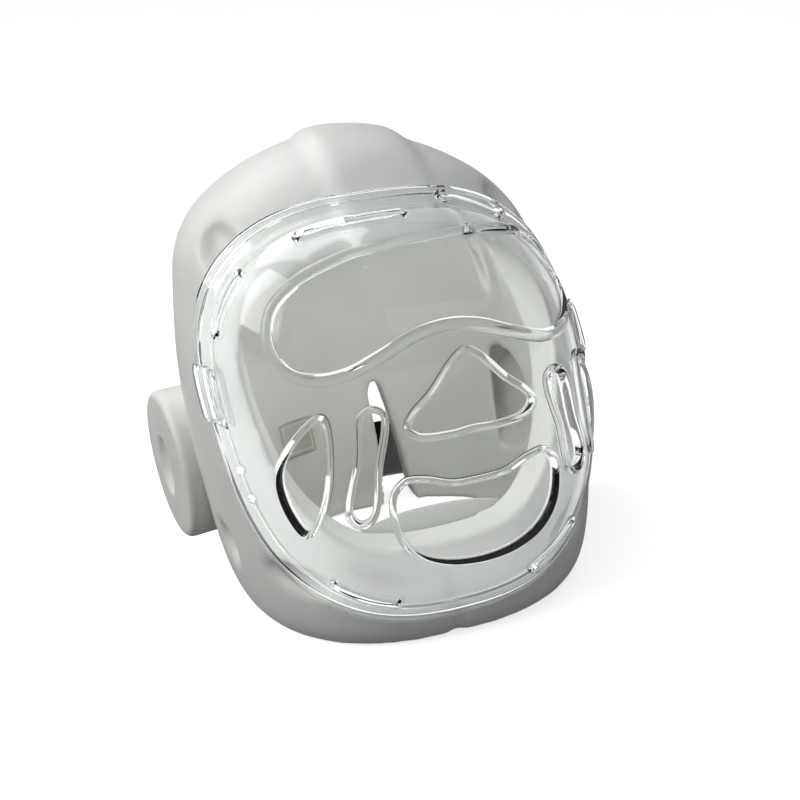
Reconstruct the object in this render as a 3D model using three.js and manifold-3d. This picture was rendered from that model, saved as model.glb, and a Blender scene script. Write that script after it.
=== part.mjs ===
// Sparring headgear with face shield: a moulded foam head guard that stands on its lower rim,
// with a clear domed shield over the face and a black elastic strap across the slit at the back.
// Millimetres, +Z up, the face looks towards -Y and the wearer's left is towards +X.
import * as THREE from 'three';
import { mergeVertices } from 'three/addons/utils/BufferGeometryUtils.js';
import Module from 'manifold-3d';

const wasm = await Module();
wasm.setup();

// Driving sizes of the foam shell
const guardHeight = 247;
const halfWidth = 112;
const frontReach = 113;
const backReach = 109;
const sideWall = 23;
const frontWall = 20;
const backWall = 22;
const crownWall = 20;
const sectionPower = 2.4;
const baseShift = 6;
const crownLean = 14;
const leanStart = 0.25;
const panelHalfWidth = 30;
const panelShift = 10;
const panelLift = 4;
const panelEdge = 10;
const panelStart = 0.66;
const panelFull = 0.76;
const crownStart = 0.9;
const crownFull = 0.96;
const shellSegments = 44;
const outlineSteps = 44;

// Face opening of the foam
const openingHalfWidth = 79;
const openingTop = 0.794 * guardHeight;
const openingBottom = 0.223 * guardHeight;
const openingFlare = 0.07;
const openingEnd = 0.12;
const openingMiddle = 0.5;

// Slit at the nape
const slitHeight = 0.332 * guardHeight;
const slitWidth = 18;
const slitOffset = 9;
const slitStart = 0.4;
const slitEnd = 1.4;

// Ear discs
const discRadius = 44;
const discStand = 17;
const discReach = halfWidth + discStand;
const discHeight = 71;
const discBack = 24;
const discTurn = 12;
const discRound = 6;
const discDepth = 48;
const scoopHalfHeight = 18;
const scoopHalfWidth = 14;
const scoopDepth = 5;
const earHollowRadius = 33;
const earHollowDepth = 11;

// Chin cup inside the chin bar
const cupAngle = 25;
const cupThickness = 13;
const cupEdge = 0.35;
const cupTop = 63;
const cupBottom = 14;
const cupDrop = 9;

// Face shield
const shieldInset = 13;
const shieldHalfWidth = halfWidth - shieldInset;
const shieldTop = 0.8988 * guardHeight;
const shieldBottom = 15;
const shieldPower = 2.6;
const shieldRise = 31;
const shieldRiseGain = 4;
const bulgeRound = 4.2;
const bulgeRoundGain = 1.8;
const bulgeSoft = 0.6;
const bulgeSoftGain = -0.1;
const shieldWall = 2.6;
const flangeShare = 0.93;
const lipRadius = 2.1;
const lipSink = 0.9;
const lipSides = 3;
const ventShift = 3;
const goggleShift = -4;
const ventStart = 2;
const ventEnd = 0.3;
const rimSlotWidth = 4.2;
const rimSlotAngle = 23;

// Side clips of the shield, rear strap and label
const clipLength = 28;
const clipRaise = 17;
const clipWidth = 9;
const clipThickness = 2.6;
const clipGap = 0.95;
const strapWidth = 38;
const strapLow = 9;
const strapThickness = 2.2;
const strapAngle = 46;
const labelWidth = 30;
const labelHeight = 22;
const labelThickness = 0.8;
const labelLow = 46;
const labelAngle = 150;

// Clearance kept between pieces that touch on the real object
const seatGap = 0.35;
const padGap = 1.3;

const deg = Math.PI / 180;
const weldReach = 1e-4;

// Sections of the foam from the lower rim to the crown. Heights are shares of guardHeight; the
// half width, the reach to the front and the reach to the back are shares of the sizes above.
const sections = [
  { height: 0.0, side: 0.85, front: 0.965, back: 0.79 },
  { height: 0.035, side: 0.9, front: 0.995, back: 0.83 },
  { height: 0.1, side: 0.94, front: 1.0, back: 0.86 },
  { height: 0.2, side: 0.97, front: 0.985, back: 0.9 },
  { height: 0.34, side: 0.99, front: 0.965, back: 0.95 },
  { height: 0.48, side: 0.975, front: 0.95, back: 0.99 },
  { height: 0.6, side: 0.935, front: 0.925, back: 1.0 },
  { height: 0.71, side: 0.875, front: 0.88, back: 0.96 },
  { height: 0.8, side: 0.81, front: 0.815, back: 0.87 },
  { height: 0.87, side: 0.7, front: 0.7, back: 0.75 },
  { height: 0.925, side: 0.54, front: 0.55, back: 0.58 },
  { height: 0.965, side: 0.36, front: 0.37, back: 0.39 },
  { height: 0.99, side: 0.18, front: 0.18, back: 0.2 },
  { height: 1.0, side: 0.0, front: 0.0, back: 0.0 },
];

// Half outline of the face opening, from the brow down the wearer's left side to the chin.
// Columns are shares of openingHalfWidth and of the opening's height above its lower edge.
const openingOutline = [
  { side: 0.0, up: 1.0 },
  { side: 0.45, up: 0.985 },
  { side: 0.8, up: 0.9 },
  { side: 0.97, up: 0.76 },
  { side: 0.99, up: 0.6 },
  { side: 0.92, up: 0.38 },
  { side: 0.76, up: 0.16 },
  { side: 0.5, up: 0.03 },
  { side: 0.2, up: 0.0 },
];

// Moulded dents. Angle is measured from the front around the side, height is a share of
// guardHeight, and the half length, half breadth and depth are in millimetres.
const dents = [
  { angle: 48, height: 0.82, long: 19, broad: 11, deep: 5, tilt: 40 },
  { angle: 92, height: 0.66, long: 16, broad: 6, deep: 3.5, tilt: 90 },
  { angle: 80, height: 0.13, long: 13, broad: 6, deep: 4.5, tilt: 50 },
  { angle: 45, height: 0.14, long: 21, broad: 5.5, deep: 5, tilt: -22 },
];

// Vents and ridges of the shield, as half outlines about its midline or as full outlines of the
// wearer's left side. Across and up are shares of shieldHalfWidth and of the shield's height.
const goggleOutline = [
  { across: 0.0, up: 0.91 },
  { across: 0.24, up: 0.905 },
  { across: 0.44, up: 0.885 },
  { across: 0.61, up: 0.85 },
  { across: 0.72, up: 0.8 },
  { across: 0.755, up: 0.735 },
  { across: 0.71, up: 0.68 },
  { across: 0.61, up: 0.658 },
  { across: 0.47, up: 0.663 },
  { across: 0.31, up: 0.692 },
  { across: 0.14, up: 0.725 },
  { across: 0.0, up: 0.735 },
];
const noseOutline = [
  { across: 0.0, up: 0.678 },
  { across: 0.06, up: 0.662 },
  { across: 0.18, up: 0.6 },
  { across: 0.275, up: 0.56 },
  { across: 0.305, up: 0.532 },
  { across: 0.26, up: 0.51 },
  { across: 0.11, up: 0.502 },
  { across: 0.0, up: 0.505 },
];
const mouthOutline = [
  { across: 0.0, up: 0.39 },
  { across: 0.13, up: 0.393 },
  { across: 0.25, up: 0.412 },
  { across: 0.34, up: 0.415 },
  { across: 0.4, up: 0.385 },
  { across: 0.41, up: 0.33 },
  { across: 0.38, up: 0.27 },
  { across: 0.3, up: 0.222 },
  { across: 0.165, up: 0.192 },
  { across: 0.0, up: 0.182 },
];
const slotOutline = [
  { across: 0.4, up: 0.57 },
  { across: 0.45, up: 0.585 },
  { across: 0.5, up: 0.57 },
  { across: 0.545, up: 0.46 },
  { across: 0.6, up: 0.345 },
  { across: 0.56, up: 0.32 },
  { across: 0.5, up: 0.335 },
  { across: 0.45, up: 0.45 },
];
const cheekOutline = [
  { across: 0.66, up: 0.575 },
  { across: 0.72, up: 0.56 },
  { across: 0.84, up: 0.48 },
  { across: 0.875, up: 0.42 },
  { across: 0.85, up: 0.335 },
  { across: 0.79, up: 0.285 },
  { across: 0.735, up: 0.32 },
  { across: 0.66, up: 0.45 },
];

// Long slots that follow the rim of the shield: turn of their middles from the top towards the
// wearer's left, in degrees, and share of the way from the shield's middle out to its rim
const rimSlots = [
  { turn: -8, share: 0.905 },
  { turn: 26, share: 0.955 },
  { turn: -54, share: 0.915 },
  { turn: 54, share: 0.915 },
  { turn: -153, share: 0.86 },
  { turn: 148, share: 0.875 },
];

// Outline of the slit about its own middle, in shares of slitWidth and slitHeight
const slitOutline = [
  { across: 0.5, up: -0.25 },
  { across: 0.5, up: 0.1 },
  { across: 0.31, up: 0.5 },
  { across: -0.05, up: 0.93 },
  { across: -0.25, up: 1.0 },
  { across: -0.45, up: 0.93 },
  { across: -0.4, up: 0.5 },
  { across: -0.5, up: 0.1 },
  { across: -0.5, up: -0.25 },
];

// Value of one column of the section table at a height share, as a smooth curve through its rows
function sectionShare(column, share) {
  const last = sections.length - 1;
  let row = 0;
  while (row < last - 1 && share > sections[row + 1].height) row += 1;
  const slopeAt = (k) => {
    const before = sections[Math.max(k - 1, 0)];
    const after = sections[Math.min(k + 1, last)];
    return (after[column] - before[column]) / (after.height - before.height);
  };
  const span = sections[row + 1].height - sections[row].height;
  const t = THREE.MathUtils.clamp((share - sections[row].height) / span, 0, 1);
  const a = sections[row][column];
  const b = sections[row + 1][column];
  const t2 = t * t;
  const t3 = t2 * t;
  return a * (2 * t3 - 3 * t2 + 1) + slopeAt(row) * span * (t3 - 2 * t2 + t)
    + b * (3 * t2 - 2 * t3) + slopeAt(row + 1) * span * (t3 - t2);
}

const smooth = THREE.MathUtils.smoothstep;

// Sideways place of the foam's middle: the soft guard leans a little as it stands
function middleAt(z) {
  return -baseShift - crownLean * smooth(z, leanStart * guardHeight, guardHeight);
}

// Height of the raised panel over the forehead and crown
function panelRaise(x, z) {
  const fromPanel = Math.abs(x - panelShift);
  const across = 1 - smooth(fromPanel, panelHalfWidth - panelEdge, panelHalfWidth);
  return panelLift * across * smooth(z, panelStart * guardHeight, panelFull * guardHeight);
}

// Point of the foam's outer surface moved inwards by an inset; angle 0 is the front
function shellPoint(angle, z, inset = { side: 0, front: 0, back: 0 }) {
  const share = z / guardHeight;
  const front = Math.cos(angle) >= 0;
  const reach = front
    ? frontReach * sectionShare('front', share) - inset.front
    : backReach * sectionShare('back', share) - inset.back;
  const half = halfWidth * sectionShare('side', share) - inset.side;
  const bend = (value) => Math.sign(value) * Math.abs(value) ** (2 / sectionPower);
  const x = Math.max(half, 0) * bend(Math.sin(angle));
  const y = -Math.max(reach, 0) * bend(Math.cos(angle));
  const raise = inset.side > sideWall / 2 ? 0 : panelRaise(x, z);
  const ahead = y < 0 ? -1 : 1;
  const top = smooth(z, crownStart * guardHeight, crownFull * guardHeight);
  return new THREE.Vector3(x + middleAt(z), y + ahead * raise * (1 - top), z + raise * top);
}

// Depth of the outer surface in front of the face at a place across and a height
function frontFace(x, z) {
  const share = z / guardHeight;
  const half = halfWidth * sectionShare('side', share);
  const across = Math.min(Math.abs(x - middleAt(z)) / half, 0.999);
  const reach = frontReach * sectionShare('front', share);
  const bow = (1 - across ** sectionPower) ** (1 / sectionPower);
  return -reach * bow - panelRaise(x - middleAt(z), z);
}

// Length along Y that a unit thickness square to the foam's front takes
function frontSlant(x, z) {
  const step = 1;
  const across = (frontFace(x + step, z) - frontFace(x - step, z)) / (2 * step);
  const up = (frontFace(x, z + step) - frontFace(x, z - step)) / (2 * step);
  return Math.hypot(1, across, up);
}

// Closed body from rings of equal length. The ends are 'poles', where the first and last ring
// shrink to a point, 'joined', where the last ring meets the first, or 'strips', where the two
// halves of a flat ring are sewn together.
function ringBody(rings, ends) {
  const count = rings[0].length;
  const places = rings.flat().flatMap((p) => [p.x, p.y, p.z]);
  const faces = [];
  const bands = ends === 'joined' ? rings.length : rings.length - 1;
  for (let r = 0; r < bands; r += 1) {
    const next = (r + 1) % rings.length;
    for (let k = 0; k < count; k += 1) {
      const a = r * count + k;
      const b = r * count + ((k + 1) % count);
      const c = next * count + ((k + 1) % count);
      const d = next * count + k;
      faces.push(a, b, c, a, c, d);
    }
  }
  if (ends === 'strips') {
    for (const [start, turn] of [[0, 1], [(rings.length - 1) * count, -1]]) {
      for (let k = 0; k < count / 2 - 1; k += 1) {
        const corner = [start + k, start + k + 1, start + count - 2 - k, start + count - 1 - k];
        const [a, b, c, d] = turn > 0 ? corner.reverse() : corner;
        faces.push(a, b, c, a, c, d);
      }
    }
  }
  if (ends === 'poles') {
    for (const [start, turn] of [[0, 1], [(rings.length - 1) * count, -1]]) {
      const middle = new THREE.Vector3();
      for (let k = 0; k < count; k += 1) middle.addScaledVector(rings[start / count][k], 1 / count);
      const pole = places.length / 3;
      places.push(middle.x, middle.y, middle.z);
      for (let k = 0; k < count; k += 1) {
        const a = start + k;
        const b = start + ((k + 1) % count);
        faces.push(pole, turn > 0 ? b : a, turn > 0 ? a : b);
      }
    }
  }
  return facedOut(places, faces);
}

// Geometry with its faces turned outwards
function facedOut(places, faces) {
  const at = (i) => new THREE.Vector3(places[3 * i], places[3 * i + 1], places[3 * i + 2]);
  let volume = 0;
  for (let f = 0; f < faces.length; f += 3) {
    volume += at(faces[f]).dot(at(faces[f + 1]).cross(at(faces[f + 2])));
  }
  const geometry = new THREE.BufferGeometry();
  geometry.setAttribute('position', new THREE.Float32BufferAttribute(places, 3));
  geometry.setIndex(volume >= 0 ? faces : faces.slice().reverse());
  return geometry;
}

// Closed body between two surfaces over one grid, such as a pad, a strap or a label
function padBody(outer, inner, across, up) {
  const rings = [];
  for (let j = 0; j <= up; j += 1) {
    const ring = [];
    for (let i = 0; i <= across; i += 1) ring.push(outer(i / across, j / up));
    for (let i = across; i >= 0; i -= 1) ring.push(inner(i / across, j / up));
    rings.push(ring);
  }
  return ringBody(rings, 'strips');
}

function toSolid(geometry) {
  const plain = geometry.clone();
  plain.deleteAttribute('normal');
  plain.deleteAttribute('uv');
  const merged = mergeVertices(plain, weldReach);
  return new wasm.Manifold(new wasm.Mesh({
    numProp: 3,
    vertProperties: new Float32Array(merged.attributes.position.array),
    triVerts: new Uint32Array(merged.index.array),
  }));
}

function fromSolid(solid) {
  const mesh = solid.getMesh();
  const geometry = new THREE.BufferGeometry();
  geometry.setAttribute('position', new THREE.Float32BufferAttribute(Array.from(mesh.vertProperties), 3));
  geometry.setIndex(Array.from(mesh.triVerts));
  geometry.computeVertexNormals();
  return geometry;
}

// Foam form from the crown down the outside and up the inside; a negative inset swells it
const ringHeights = [0.998, 0.98, 0.95, 0.91, 0.86, 0.8, 0.73, 0.65, 0.56, 0.46, 0.35, 0.24, 0.14,
  0.06, 0.02, 0.0];

function outerForm(swell) {
  const inset = { side: -swell, front: -swell, back: -swell };
  const rings = ringHeights.map((share) => ringAt(share * guardHeight, inset));
  const top = rings[0].map((p) => new THREE.Vector3(p.x, p.y, p.z + swell));
  const low = rings.at(-1).map((p) => new THREE.Vector3(p.x, p.y, p.z - swell));
  return ringBody([top, ...rings.slice(1, -1), low], 'poles');
}

function ringAt(z, inset) {
  const ring = [];
  for (let k = 0; k < shellSegments; k += 1) {
    ring.push(shellPoint((k / shellSegments) * 2 * Math.PI, z, inset));
  }
  return ring;
}

const hollowInset = { side: sideWall, front: frontWall, back: backWall };

function innerPoint(angle, z, away = 0) {
  const inset = { side: sideWall + away, front: frontWall + away, back: backWall + away };
  return shellPoint(angle, z, inset);
}

function foamPot() {
  const outside = ringHeights.map((share) => ringAt(share * guardHeight, undefined));
  const insideHeights = [0.0, 0.05, 0.12, 0.25, 0.38, 0.52, 0.65, 0.76, 0.84];
  const inside = insideHeights.map((share) => ringAt(share * guardHeight, hollowInset));
  const roof = guardHeight - crownWall;
  const highest = inside.at(-1);
  const middle = new THREE.Vector3(middleAt(roof), 0, roof);
  const closing = [{ keep: 0.72, rise: 0.6 }, { keep: 0.36, rise: 0.92 }].map(({ keep, rise }) =>
    highest.map((p) => new THREE.Vector3(
      THREE.MathUtils.lerp(middle.x, p.x, keep),
      THREE.MathUtils.lerp(middle.y, p.y, keep),
      THREE.MathUtils.lerp(p.z, roof, rise),
    )));
  return ringBody([...outside, ...inside, ...closing], 'poles');
}

// Smooth closed outline through half an outline and its mirror image
function mirrored(rows, toPoint, steps) {
  const left = rows.map(toPoint);
  const right = rows
    .filter((row) => (row.side ?? row.across) > 0)
    .map(toPoint)
    .map((p) => new THREE.Vector2(-p.x, p.y))
    .reverse();
  return closedOutline([...left, ...right], steps);
}

function closedOutline(points, steps) {
  const curve = new THREE.CatmullRomCurve3(points.map((p) => new THREE.Vector3(p.x, 0, p.y)), true);
  return curve.getSpacedPoints(steps).slice(0, steps).map((p) => new THREE.Vector2(p.x, p.z));
}

// Prism along Y from one outline, which may grow towards the front
function prism(outline, middle, nearY, farY, grow) {
  const ring = (y, scale) => outline.map((p) => new THREE.Vector3(
    middle.x + (p.x - middle.x) * scale,
    y,
    middle.y + (p.y - middle.y) * scale,
  ));
  return toSolid(ringBody([ring(nearY, 1 + grow), ring(farY, 1 - grow)], 'poles'));
}

function faceOpening() {
  const tall = openingTop - openingBottom;
  const outline = mirrored(
    openingOutline,
    (row) => new THREE.Vector2(row.side * openingHalfWidth, openingBottom + row.up * tall),
    outlineSteps,
  );
  const middleX = middleAt(openingMiddle * guardHeight);
  const placed = outline.map((p) => new THREE.Vector2(p.x + middleX, p.y));
  const middle = new THREE.Vector2(middleX, openingBottom + tall / 2);
  return prism(placed, middle, -frontReach - 2 * frontWall, -frontReach * openingEnd, openingFlare);
}

function napeSlit() {
  const outline = closedOutline(
    slitOutline.map((row) => new THREE.Vector2(
      slitOffset + row.across * slitWidth,
      row.up * slitHeight,
    )),
    28,
  );
  return prism(outline, outline[0], backReach * slitStart, backReach * slitEnd, 0);
}

// Ellipsoid laid flat on the foam at a dent's place
function dentTool(row, hand) {
  const angle = hand * row.angle * deg;
  const z = row.height * guardHeight;
  const step = 0.02;
  const place = shellPoint(angle, z);
  const around = shellPoint(angle + step, z).sub(shellPoint(angle - step, z)).normalize();
  const upward = shellPoint(angle, z + 1).sub(shellPoint(angle, z - 1)).normalize();
  const outward = new THREE.Vector3().crossVectors(around, upward).normalize();
  const level = new THREE.Vector3().crossVectors(upward, outward).normalize();
  const frame = new THREE.Matrix4().makeBasis(level, upward, outward);
  const geometry = new THREE.SphereGeometry(1, 12, 6);
  geometry.scale(row.long, row.broad, row.deep);
  geometry.rotateZ(hand * row.tilt * deg);
  geometry.applyMatrix4(frame);
  geometry.translate(place.x, place.y, place.z);
  return toSolid(geometry);
}

// Places a body made about its own +Z axis at an ear, with that axis pointing outwards
function atEar(geometry, hand, out) {
  geometry.rotateY(hand * 90 * deg);
  geometry.rotateZ(-hand * discTurn * deg);
  const middle = middleAt(discHeight);
  const outward = -hand * discTurn * deg;
  const turned = new THREE.Vector3(hand, 0, 0).applyAxisAngle(new THREE.Vector3(0, 0, 1), outward);
  geometry.translate(middle + hand * discReach, discBack, discHeight);
  geometry.translate(turned.x * out, turned.y * out, 0);
  return geometry;
}

function earHollow(hand) {
  const inward = discReach - halfWidth + sideWall;
  const geometry = new THREE.CylinderGeometry(earHollowRadius, earHollowRadius, 2 * earHollowDepth, 20);
  geometry.rotateX(90 * deg);
  return toSolid(atEar(geometry, hand, -inward));
}

function foamShell() {
  let foam = toSolid(foamPot());
  foam = foam.subtract(faceOpening());
  foam = foam.subtract(napeSlit());
  for (const hand of [-1, 1]) {
    foam = foam.subtract(earHollow(hand));
    for (const row of dents) foam = foam.subtract(dentTool(row, hand));
  }
  return fromSolid(foam);
}

function earDisc(hand) {
  const profile = [new THREE.Vector2(0, -discDepth), new THREE.Vector2(discRadius, -discDepth)];
  const corners = 2;
  for (let k = 0; k <= corners; k += 1) {
    const turn = (k / corners) * 90 * deg;
    profile.push(new THREE.Vector2(
      discRadius - discRound + discRound * Math.cos(turn),
      -discRound + discRound * Math.sin(turn),
    ));
  }
  profile.push(new THREE.Vector2(0, 0));
  const lathe = new THREE.LatheGeometry(profile, 28);
  lathe.rotateX(90 * deg);
  const scoop = new THREE.SphereGeometry(1, 12, 6);
  scoop.scale(scoopHalfHeight, scoopHalfWidth, scoopDepth);
  const disc = toSolid(atEar(lathe, hand, 0)).subtract(toSolid(atEar(scoop, hand, 0)));
  return fromSolid(disc.subtract(toSolid(outerForm(seatGap))));
}

function chinCup() {
  const place = (u, v, away) => {
    const side = 2 * u - 1;
    const angle = side * cupAngle * deg;
    const top = cupTop - cupDrop * side * side;
    const z = THREE.MathUtils.lerp(cupBottom, top, v);
    return innerPoint(angle, z, away);
  };
  const swell = (u, v) => {
    const side = 2 * u - 1;
    const edge = (1 - side ** 4) * (1 - (2 * v - 1) ** 4);
    return padGap + cupThickness * (cupEdge + (1 - cupEdge) * Math.sqrt(Math.max(edge, 0)));
  };
  return padBody((u, v) => place(u, v, padGap), (u, v) => place(u, v, swell(u, v)), 12, 8);
}

// Point of the shield's outer surface for a place across and a height
const shieldMiddle = (shieldTop + shieldBottom) / 2;
const shieldHalfHeight = (shieldTop - shieldBottom) / 2;

function shieldDepth(x, z) {
  const across = Math.abs(x - middleAt(z)) / shieldHalfWidth;
  const up = (z - shieldMiddle) / shieldHalfHeight;
  const out = (across ** shieldPower + Math.abs(up) ** shieldPower) ** (1 / shieldPower);
  const inside = Math.min(out / flangeShare, 1);
  const roundness = bulgeRound + bulgeRoundGain * up;
  const softness = bulgeSoft + bulgeSoftGain * up;
  const rise = (shieldRise + shieldRiseGain * up) * (1 - inside ** roundness) ** softness;
  return frontFace(x, z) - (padGap + shieldWall) * frontSlant(x, z) - rise;
}

function shieldPoint(x, z) {
  return new THREE.Vector3(x, shieldDepth(x, z), z);
}

function shieldNormal(x, z) {
  const step = 0.5;
  const across = shieldPoint(x + step, z).sub(shieldPoint(x - step, z));
  const upward = shieldPoint(x, z + step).sub(shieldPoint(x, z - step));
  return new THREE.Vector3().crossVectors(across, upward).normalize();
}

function shieldPlace(row, hand = 1) {
  const z = shieldBottom + row.up * (shieldTop - shieldBottom);
  return new THREE.Vector2(hand * row.across * shieldHalfWidth, z);
}

// Outline of a vent or ridge, on both sides of the face's midline where no hand is given
function shieldOutline(rows, hand, steps, shift = ventShift) {
  const flat = hand === 0
    ? mirrored(rows, (row) => shieldPlace(row), steps)
    : closedOutline(rows.map((row) => shieldPlace(row, hand)), steps);
  return flat.map((p) => new THREE.Vector2(p.x + shift, p.y));
}

// Raised bead along an outline on the shield
function bead(outline, radius) {
  const rings = outline.map((p, k) => {
    const before = outline[(k + outline.length - 1) % outline.length];
    const after = outline[(k + 1) % outline.length];
    const along = shieldPoint(after.x, after.y).sub(shieldPoint(before.x, before.y)).normalize();
    const outward = shieldNormal(p.x, p.y);
    const sideways = new THREE.Vector3().crossVectors(along, outward).normalize();
    const place = shieldPoint(p.x, p.y).addScaledVector(outward, -lipSink);
    return Array.from({ length: lipSides }, (unused, s) => {
      const turn = (s / lipSides) * 2 * Math.PI + 90 * deg;
      return place.clone()
        .addScaledVector(sideways, radius * Math.cos(turn))
        .addScaledVector(outward, radius * Math.sin(turn));
    });
  });
  return toSolid(ringBody(rings, 'joined'));
}

// Place across and up of a point of the shield, from its turn about the middle and its share of
// the way out to the rim
function rimPlace(turn, share) {
  const bend = (value) => Math.sign(value) * Math.abs(value) ** (2 / shieldPower);
  const z = shieldMiddle + share * shieldHalfHeight * bend(Math.cos(turn));
  return new THREE.Vector2(middleAt(z) + share * shieldHalfWidth * bend(Math.sin(turn)), z);
}

// Tool for one slot: a square bar bent along the rim, square to the shield
function rimSlot(row) {
  const steps = 6;
  const step = 0.02;
  const rings = [];
  for (let k = 0; k <= steps; k += 1) {
    const turn = (row.turn + (k / steps - 0.5) * rimSlotAngle) * deg;
    const flat = rimPlace(turn, row.share);
    const before = rimPlace(turn - step, row.share);
    const after = rimPlace(turn + step, row.share);
    const along = shieldPoint(after.x, after.y).sub(shieldPoint(before.x, before.y)).normalize();
    const outward = shieldNormal(flat.x, flat.y);
    const sideways = new THREE.Vector3().crossVectors(outward, along).normalize();
    const corner = (side, out) => shieldPoint(flat.x, flat.y)
      .addScaledVector(sideways, side * rimSlotWidth / 2)
      .addScaledVector(outward, out * 3 * shieldWall);
    rings.push([corner(-1, -1), corner(1, -1), corner(1, 1), corner(-1, 1)]);
  }
  return toSolid(ringBody(rings, 'poles'));
}

function faceShield() {
  const steps = 36;
  const outShares = [0.2, 0.42, 0.58, 0.7, 0.79, 0.86, 0.905, 0.94, 1.0];
  const ringOf = (share, depth) => {
    const ring = [];
    for (let k = 0; k < steps; k += 1) {
      const flat = rimPlace((k / steps) * 2 * Math.PI, share);
      const place = shieldPoint(flat.x, flat.y);
      ring.push(place.addScaledVector(shieldNormal(flat.x, flat.y), -depth));
    }
    return ring;
  };
  const outside = outShares.map((share) => ringOf(share, 0));
  const inside = outShares.slice().reverse().map((share) => ringOf(share, shieldWall));
  let shield = toSolid(ringBody([...outside, ...inside], 'poles'));
  shield = shield.add(bead(shieldOutline(goggleOutline, 0, 42, goggleShift), lipRadius));
  const vents = [
    { outline: shieldOutline(noseOutline, 0, 22) },
    { outline: shieldOutline(mouthOutline, 0, 26) },
    ...[-1, 1].flatMap((hand) => [
      { outline: shieldOutline(slotOutline, hand, 14) },
      { outline: shieldOutline(cheekOutline, hand, 14) },
    ]),
  ];
  for (const { outline } of vents) shield = shield.add(bead(outline, lipRadius));
  for (const { outline } of vents) {
    const tool = prism(outline, outline[0], -ventStart * frontReach, -ventEnd * frontReach, 0);
    shield = shield.subtract(tool);
  }
  for (const row of rimSlots) shield = shield.subtract(rimSlot(row));
  return fromSolid(shield);
}

// Clear clip that lies on the shield's flange beside the cheek
function shieldClip(hand) {
  const place = (u, v, lift) => {
    const z = shieldMiddle + clipRaise + (v - 0.5) * clipLength;
    const out = 1 - (u * clipWidth) / shieldHalfWidth;
    const up = Math.abs(z - shieldMiddle) / shieldHalfHeight;
    const reach = shieldHalfWidth * (1 - up ** shieldPower) ** (1 / shieldPower);
    const x = middleAt(z) + hand * reach * out;
    return shieldPoint(x, z).addScaledVector(shieldNormal(x, z), lift);
  };
  return padBody(
    (u, v) => place(u, v, clipGap + clipThickness),
    (u, v) => place(u, v, clipGap),
    2,
    6,
  );
}

function rearStrap() {
  const place = (u, v, away) => {
    const angle = (180 - strapAngle + 2 * u * strapAngle) * deg;
    const z = strapLow + v * strapWidth;
    const inset = { side: -away, front: -away, back: -away };
    return shellPoint(angle, z, inset);
  };
  return padBody(
    (u, v) => place(u, v, 2 * seatGap + strapThickness),
    (u, v) => place(u, v, 2 * seatGap),
    20,
    2,
  );
}

// Bare sewn-in label on the inner wall behind the wearer's right ear
function innerLabel() {
  const half = labelWidth / 2 / (halfWidth - sideWall);
  const place = (u, v, away) => {
    const angle = -labelAngle * deg + (2 * u - 1) * half;
    return innerPoint(angle, labelLow + v * labelHeight, away);
  };
  return padBody(
    (u, v) => place(u, v, 2 * seatGap),
    (u, v) => place(u, v, 2 * seatGap + labelThickness),
    4,
    3,
  );
}

function foamMaterial(name) {
  return new THREE.MeshStandardMaterial({ name, color: '#e4e5e0', roughness: 0.5, metalness: 0 });
}

function clearMaterial(name) {
  const looks = { color: '#eef2f2', roughness: 0.06, metalness: 0, transparent: true, opacity: 0.35 };
  return new THREE.MeshStandardMaterial({ name, ...looks });
}

const pieces = [
  ['foam_shell', foamShell(), foamMaterial('dipped_foam')],
  ['ear_disc_right', earDisc(-1), foamMaterial('dipped_foam_disc_right')],
  ['ear_disc_left', earDisc(1), foamMaterial('dipped_foam_disc_left')],
  ['chin_cup', chinCup(), foamMaterial('dipped_foam_cup')],
  ['face_shield', faceShield(), clearMaterial('clear_shield')],
  ['shield_clip_right', shieldClip(-1), clearMaterial('clear_clip_right')],
  ['shield_clip_left', shieldClip(1), clearMaterial('clear_clip_left')],
  ['rear_strap', rearStrap(), new THREE.MeshStandardMaterial({
    name: 'black_elastic', color: '#17181a', roughness: 0.9, metalness: 0,
  })],
  ['inner_label', innerLabel(), new THREE.MeshStandardMaterial({
    name: 'label_cloth', color: '#c9c7bd', roughness: 0.8, metalness: 0,
  })],
];

// The whole part stands on its lower rim with the middle of its box over the origin
const standing = new THREE.Group();
standing.name = 'standing';
for (const [name, geometry, material] of pieces) {
  const mesh = new THREE.Mesh(geometry, material);
  mesh.name = name;
  standing.add(mesh);
}
const reach = new THREE.Box3().setFromObject(standing);
const middle = reach.getCenter(new THREE.Vector3());
standing.position.set(-middle.x, -middle.y, -reach.min.z);

const group = new THREE.Group();
group.name = 'sparring_headgear';
group.add(standing);

export default group;
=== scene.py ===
# %% [markdown]
# # Sparring headgear with a clear face shield
# A head guard for sparring is one thick pot of closed-cell foam, dipped in soft white vinyl.
# A clear moulded shield is clipped over the face opening, and a black elastic band crosses
# the slit at the back. This lesson dresses the CAD frame of that guard: each piece is worked
# out as a surface over two parameters, in the same place as its CAD solid.

# %% Load the frame
import math

import bpy
import numpy as np
from mathutils import Matrix, Vector


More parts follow.
